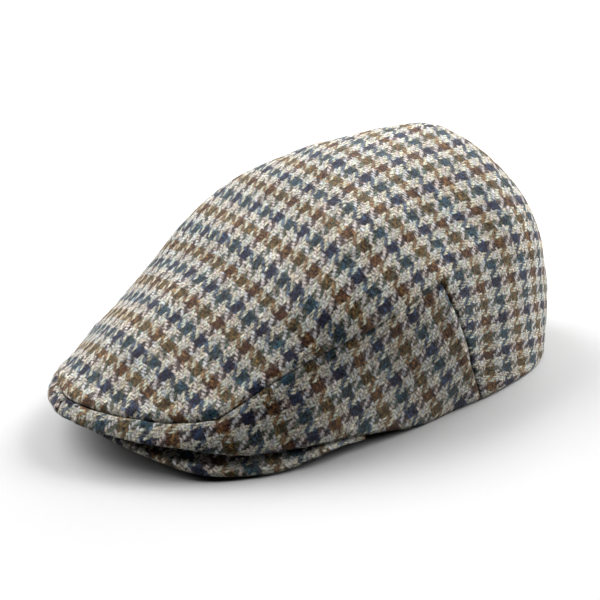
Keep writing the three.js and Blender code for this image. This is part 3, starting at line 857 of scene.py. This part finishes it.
def wool():
    """Houndstooth wool, yarn by yarn. Warp yarn i and weft yarn j come from the piece's cloth
    coordinates; the warp lies on top where (i + j) mod 4 is below 2, which is a 2 and 2 twill.
    Four light yarns and four coloured ones take turns both ways. Each yarn has thick and thin
    stretches, and fuzz of the yarn below shows between the fibres of the one on top. Painted
    shade darkens the colour between the yarns, at their edges and in their ply grooves."""
    shader = Shader("wool_houndstooth")
    uv = shader.node("UVMap", {"uv_map": "cloth"}).outputs[0]
    split = shader.node("SeparateXYZ", None, {0: uv})
    u, v = (Value(shader, split.outputs[i]) for i in (0, 1))
    place, crossed = shader.vector(u, v), shader.vector(v, u, 0.3)
    drift_a = shader.noise(place, 90.0) - 0.5
    drift_b = shader.noise(crossed, 90.0) - 0.5
    hair_a = shader.noise(place, 1300.0, 3.0, 0.7) - 0.5
    hair_b = shader.noise(crossed, 1300.0, 3.0, 0.7) - 0.5
    a = u * (1000 / WARP_PITCH) + drift_a * YARN_DRIFT + hair_a * YARN_HAIR
    b = v * (1000 / WEFT_PITCH) + drift_b * YARN_DRIFT + hair_b * YARN_HAIR
    i, j = a.math("FLOOR"), b.math("FLOOR")
    warp_run = (i + b) % 4.0
    weft_run = (a + j) % 4.0 - 2.0
    warp_up = warp_run < 2.0
    # fibres run along the yarns
    warp_fibre = shader.noise(shader.vector(u * 3.0, v), 340.0, 4.0, 0.65)
    weft_fibre = shader.noise(shader.vector(u, v * 3.0), 340.0, 4.0, 0.65)
    # thicker and thinner stretches of each yarn
    warp_slub = shader.noise(shader.vector(i * 0.01, v), 140.0) - 0.5
    weft_slub = shader.noise(shader.vector(u, j * 0.01), 140.0) - 0.5
    # each yarn's tone wanders along it; coloured yarns are of one dye in every second repeat
    heather = shader.noise(place, 160.0, 5.0, 0.75) * 3.4 - 1.2
    warp_heather = shader.random(shader.vector(i, 0.0)) * 0.4 + heather * 0.6 + warp_slub * 2.4
    weft_heather = shader.random(shader.vector(0.0, j)) * 0.4 + heather * 0.6 + weft_slub * 2.4
    half, both = REPEAT / 2, REPEAT * 2
    warp_coloured, warp_second = (i % REPEAT) > half - 0.5, (i % both) > REPEAT - 0.5
    weft_coloured, weft_second = (j % REPEAT) > half - 0.5, (j % both) > REPEAT - 0.5
    warp_dark = shader.mix(warp_heather, PLUM, UMBER)
    warp_olive = shader.mix(warp_heather, OLIVE, SEA_GREEN)
    weft_rust = shader.mix(weft_heather, RUST, OCHRE)
    weft_blue = shader.mix(weft_heather, NAVY, STEEL_BLUE)
    warp_colour = shader.mix(warp_second, warp_dark, warp_olive)
    warp_colour = shader.mix(warp_coloured, shader.mix(warp_heather, CREAM, PALE_SAGE), warp_colour)
    weft_colour = shader.mix(weft_second, weft_rust, weft_blue)
    weft_colour = shader.mix(
        weft_coloured, shader.mix(weft_heather, PALE_ROSE, PALE_BLUE), weft_colour
    )
    # roundness of the yarn on top, across it and along its float
    share_a, share_b = a - i, b - j
    warp_side, weft_side = share_a * 2.0 - 1.0, share_b * 2.0 - 1.0
    warp_round = 1.0 - warp_side * warp_side
    weft_round = 1.0 - weft_side * weft_side
    warp_arch = (warp_run * (np.pi / 2)).math("SINE")
    weft_arch = (weft_run * (np.pi / 2)).math("SINE")
    warp_height = warp_round * (warp_arch * 0.6 + 0.4)
    weft_height = weft_round * (weft_arch * 0.6 + 0.4)
    height = weft_height + warp_up * (warp_height - weft_height)
    # each yarn is two plies twisted together, so slanting grooves cross it
    twist = weft_side * 0.5 + a * PLIES + warp_up * ((warp_side - weft_side) * 0.5 + (b - a) * PLIES)
    ply = (twist * (2 * np.pi)).math("SINE")
    fibre = weft_fibre + warp_up * (warp_fibre - weft_fibre)
    slub = weft_slub + warp_up * (warp_slub - weft_slub)
    both_dyed = warp_coloured * weft_coloured
    # fuzz is thickest where two coloured yarns cross and at the edges of a yarn
    fuzz = 0.06 + both_dyed * 0.26 + (1.0 - height) * 0.14 + (hair_a + hair_b) * 1.1
    fuzz = fuzz.math("MAXIMUM", 0.0)
    on_top = warp_up + fuzz - warp_up * fuzz * 2.0
    colour = shader.mix(on_top, weft_colour, warp_colour)
    # painted shade: darker between the yarns, at a yarn's edges and ends and in its ply grooves,
    # with light and dark at random along the fibres and the thick and thin stretches
    dyed = weft_coloured + on_top * (warp_coloured - weft_coloured)
    tone_and_painted_shade = 0.08 + height * 0.64 + ply * 0.07 + slub * 0.9 + (fibre - 0.5) * (2.2 + dyed * 1.8)
    tone_and_painted_shade = tone_and_painted_shade.math("MAXIMUM", 0.02)
    # grey of that painted shade and random tone, multiplied into the yarns' colour
    tone_and_shade_grey = shader.node("CombineColor", None, {0: tone_and_painted_shade, 1: tone_and_painted_shade, 2: tone_and_painted_shade}).outputs[0]
    shaded = shader.mix(1.0, colour, tone_and_shade_grey, "MULTIPLY")
    bump_height = height * 0.9 + ply * 0.08 + fibre * 0.6
    bump = shader.node(
        "Bump", None, {"Strength": 0.8, "Distance": 0.0008, "Height": bump_height}
    ).outputs[0]
    surface = shader.node("BsdfPrincipled", None, {
        "Base Color": shaded, "Roughness": 0.95, "Normal": bump,
        "Specular IOR Level": 0.05, "Sheen Weight": 0.15, "Sheen Roughness": 0.3,
    })
    shader.node("OutputMaterial", None, {"Surface": surface.outputs[0]})
    return shader.material


def plain(name, colour, roughness):
    """Material of one colour and roughness."""
    shader = Shader(name)
    surface = shader.node("BsdfPrincipled", None, {"Base Color": colour, "Roughness": roughness})
    shader.node("OutputMaterial", None, {"Surface": surface.outputs[0]})
    return shader.material


# ------------------------------------------------------------------ stage, lights and camera
def floor(material):
    """A wide level sheet under the cap."""
    mesh = bpy.data.meshes.new("floor")
    half = 6.0
    corners = [(-half, -half, 0), (half, -half, 0), (half, half, 0), (-half, half, 0)]
    mesh.from_pydata(corners, [], [(0, 1, 2, 3)])
    mesh.materials.append(material)
    sheet = bpy.data.objects.new("floor", mesh)
    bpy.context.scene.collection.objects.link(sheet)
    return sheet


def aimed(back, up):
    """Turn of a camera or lamp whose -Z looks against back, with up on top."""
    back, up = np.asarray(back, float), np.asarray(up, float)
    z = unit(back)
    x = unit(np.cross(up, z))
    return np.stack([x, np.cross(z, x), z], 1)


def place_at(thing, position, turn):
    """Puts a camera or lamp at a position, turned by a 3 by 3 matrix."""
    matrix = np.eye(4)
    matrix[:3, :3], matrix[:3, 3] = turn, position
    thing.matrix_world = Matrix(matrix.tolist())


def softbox(name, azimuth, elevation, distance, size, power):
    """Square lamp of a size, aimed at the cap from azimuth and elevation."""
    lamp = bpy.data.lights.new(name, "AREA")
    lamp.size, lamp.energy = size, power
    holder = bpy.data.objects.new(name, lamp)
    bpy.context.scene.collection.objects.link(holder)
    back = towards(azimuth, elevation)
    target = np.array([0, 0, MIDDLE_HEIGHT])
    place_at(holder, target + back * distance, aimed(back, (0, 0.01, 1)))


def towards(azimuth, elevation):
    """Unit vector from the cap to something seen at azimuth and elevation."""
    a, e = np.radians([azimuth, elevation])
    return np.array([np.sin(a) * np.cos(e), -np.cos(a) * np.cos(e), np.sin(e)])


def camera():
    """Long lens at the cap's left front and a little above it, rolled a little and framed by a
    small shift."""
    azimuth, elevation, roll, distance = 62.78, 19.51, np.radians(-4.85), 1.07
    back = towards(azimuth, elevation)
    across, up = aimed(back, (0, 0, 1))[:, 0], aimed(back, (0, 0, 1))[:, 1]
    tilted_up = np.cos(roll) * up - np.sin(roll) * across
    data = bpy.data.cameras.new("camera")
    data.lens, data.sensor_width = 134.7, 36
    data.shift_x, data.shift_y = -0.055, -0.039
    data.clip_start, data.clip_end = 0.05, 50
    holder = bpy.data.objects.new("camera", data)
    bpy.context.scene.collection.objects.link(holder)
    target = np.array([0, AXIS_Y * MM, MIDDLE_HEIGHT])
    place_at(holder, target + back * distance, aimed(back, tilted_up))
    bpy.context.scene.camera = holder


def daylight(strength):
    """Even white light from all round."""
    world = bpy.data.worlds.new("studio")
    world.use_nodes = True
    background = world.node_tree.nodes["Background"]
    background.inputs["Color"].default_value = (1, 1, 1, 1)
    background.inputs["Strength"].default_value = strength
    bpy.context.scene.world = world


def main():
    """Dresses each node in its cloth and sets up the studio."""
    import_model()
    lines = seam_lines()
    cloth = wool()
    top_pattern = FlatPattern(in_top_panel, top_start, top_pins)
    side_pattern = FlatPattern(in_side_panel, side_start, side_pins)
    pieces = {
        "crown_top": crown_top(top_pattern, lines, cloth),
        "side_panel_left": side_panel("cloth_side_left", 1, side_pattern, lines, cloth),
        "side_panel_right": side_panel("cloth_side_right", -1, side_pattern, lines, cloth),
        "peak": peak(cloth),
    }
    for node, piece in pieces.items():
        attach(piece, "root")
        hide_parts(node)
    floor(plain("floor", FLOOR_GREY, 0.9))
    daylight(DAYLIGHT)
    for name, lamp in LAMPS.items():
        softbox(name, *lamp)
    camera()
    bpy.context.scene.view_settings.view_transform = "Standard"


main()
